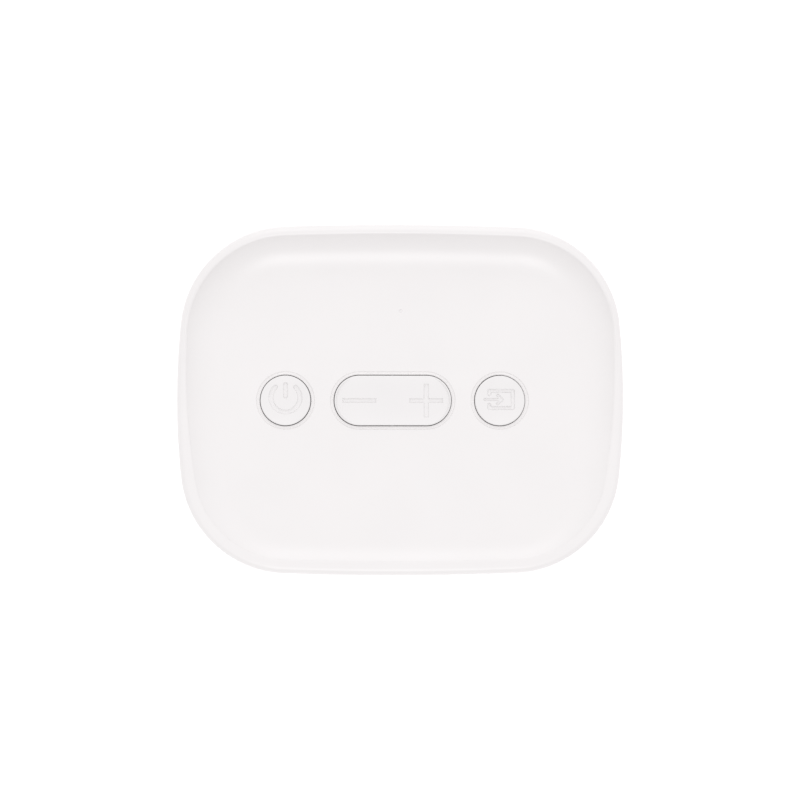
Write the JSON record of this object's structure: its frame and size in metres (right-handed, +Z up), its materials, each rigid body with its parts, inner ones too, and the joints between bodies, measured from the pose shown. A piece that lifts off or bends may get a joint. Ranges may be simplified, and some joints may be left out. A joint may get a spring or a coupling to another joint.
{
  "type": "smart speaker",
  "caption": "Upright tabletop speaker with a dished top, pressable round keys, a tilting volume rocker, cloth sleeve, driver units and rear sockets.",
  "frame": {"origin": "middle of the underside, at the level the foot pad rests on", "axes": "+Z up through the dished top, -Y towards the front with the drivers, +Y towards the rear sockets, +X to the right of someone facing the front"},
  "size_m": [0.125, 0.098, 0.1779],
  "materials": {
    "cap_white": "fine satin",
    "key_white": "fine satin",
    "cloth_white": "knitted",
    "grille_grey": "moulded",
    "panel_white": "fine texture",
    "base_white": "fine satin",
    "foot_rubber": "matt",
    "keypad_rubber": "translucent matt",
    "black_rubber": "matt",
    "cabinet_black": "moulded",
    "black_plastic": "moulded",
    "steel": "zinc plated",
    "black_screw": "black oxide",
    "white_screw": "white coated",
    "basket_black": "powder coated",
    "ferrite": "matt",
    "plated_steel": "nickel plated",
    "coil_copper": "enamelled wire",
    "cone_paper": "pressed pulp",
    "spider_cloth": "resin-dipped",
    "dome_silk": "coated silk",
    "neodymium": "nickel plated",
    "board_green": "solder mask",
    "chip_black": "moulded epoxy",
    "tin_can": "tinned",
    "heat_aluminium": "extruded",
    "transformer_tape": "taped ferrite",
    "capacitor_sleeve": "shrink sleeve",
    "wire_black": "pvc",
    "flex_amber": "polyimide",
    "aerial_gold": "printed copper",
    "mic_gold": "plated lid",
    "foam_grey": "closed-cell foam"
  },
  "bodies": {
    "housing": {"dish_top": "cap_white", "rocker_pin": "steel", "silicone_keypad": "keypad_rubber", "button_board": "board_green", "board_screws": "steel", "microphone": "mic_gold", "mic_boot": "black_rubber", "button_connector": "black_plastic", "button_flex": "flex_amber", "cap_screws": "steel", "grille_shell": "grille_grey", "fabric_sleeve": "cloth_white", "rear_panel": "panel_white", "rear_screws": "white_screw", "base_tray": "base_white", "foot_pad": "foot_rubber", "base_screws": "steel", "cabinet_shell": "cabinet_black", "front_baffle": "cabinet_black", "baffle_gasket": "foam_grey", "baffle_screws": "black_screw", "port_tube": "black_plastic", "woofer_basket": "basket_black", "woofer_gasket": "foam_grey", "woofer_top_plate": "plated_steel", "woofer_magnet": "ferrite", "woofer_yoke": "plated_steel", "woofer_surround": "black_rubber", "woofer_spider": "spider_cloth", "woofer_screws": "black_screw", "woofer_lead": "wire_black", "tweeter_faceplate": "black_plastic", "tweeter_suspension": "dome_silk", "tweeter_yoke": "plated_steel", "tweeter_magnet": "neodymium", "tweeter_screws": "black_screw", "tweeter_lead": "wire_black", "main_board": "board_green", "main_board_screws": "steel", "main_board_chips": "chip_black", "shield_can": "tin_can", "heat_sink": "heat_aluminium", "aux_jack": "black_plastic", "ac_inlet": "black_plastic", "inlet_pins": "plated_steel", "power_board": "board_green", "power_board_screws": "steel", "transformer": "transformer_tape", "capacitors": "capacitor_sleeve", "power_harness": "wire_black", "antenna_left": "aerial_gold", "antenna_right": "aerial_gold"},
    "power_key": {"power_button": "key_white"},
    "input_key": {"input_button": "key_white"},
    "volume_key": {"volume_rocker": "key_white"},
    "woofer_piston": {"voice_coil": "coil_copper", "woofer_cone": "cone_paper", "woofer_dust_cap": "cone_paper"},
    "tweeter_piston": {"tweeter_dome": "dome_silk"}
  },
  "joints": [
    {"name": "power_press", "type": "slide", "parent": "housing", "child": "power_key", "axis": [0, 0, -1], "range_m": [0, 0.0006], "stiffness_N_per_m": 400, "springref_m": -0.0015, "deforming": ["silicone_keypad"]},
    {"name": "input_press", "type": "slide", "parent": "housing", "child": "input_key", "axis": [0, 0, -1], "range_m": [0, 0.0006], "stiffness_N_per_m": 400, "springref_m": -0.0015, "deforming": ["silicone_keypad"]},
    {"name": "volume_tilt", "type": "hinge", "parent": "housing", "child": "volume_key", "pos_m": [-0.0022, 0, 0.1686], "axis": [0, 1, 0], "range_deg": [-2, 2], "stiffness_Nm_per_rad": 0.5, "deforming": ["silicone_keypad"]},
    {"name": "woofer_stroke", "type": "slide", "parent": "housing", "child": "woofer_piston", "axis": [0, -1, 0], "range_m": [-0.003, 0.003], "stiffness_N_per_m": 1500, "deforming": ["woofer_surround", "woofer_spider"]},
    {"name": "tweeter_stroke", "type": "slide", "parent": "housing", "child": "tweeter_piston", "axis": [0, -1, 0], "range_m": [-0.0003, 0.0003], "stiffness_N_per_m": 3000, "deforming": ["tweeter_suspension"]}
  ]
}
